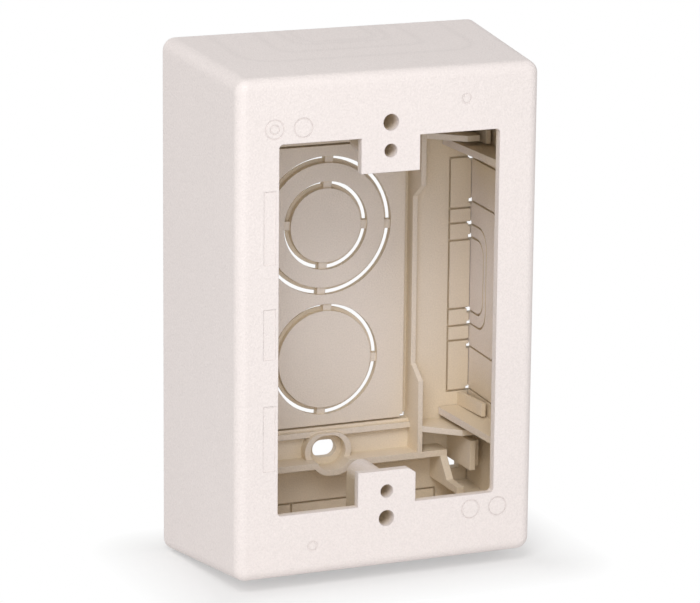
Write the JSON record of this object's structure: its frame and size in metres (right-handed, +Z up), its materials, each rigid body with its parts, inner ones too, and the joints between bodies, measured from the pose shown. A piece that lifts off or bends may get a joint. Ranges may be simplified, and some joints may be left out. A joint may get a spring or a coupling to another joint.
{
  "type": "surface-mount junction box",
  "caption": "Deep surface-mount device box: a base with knockouts, ribs and screw slots, under a clip-on frame with a window and screw tabs for a wiring device.",
  "frame": {"origin": "middle of the back, in the plane of the wall that the box is screwed to", "axes": "+X right, +Y into the wall, +Z up along the box's length; the window faces -Y"},
  "size_m": [0.083, 0.042, 0.128],
  "materials": {
    "frame_plastic": "fine matte moulded texture",
    "base_plastic": "plain moulded"
  },
  "bodies": {
    "root": {"cover_frame": "frame_plastic", "base_plate": "base_plastic"}
  },
  "joints": []
}
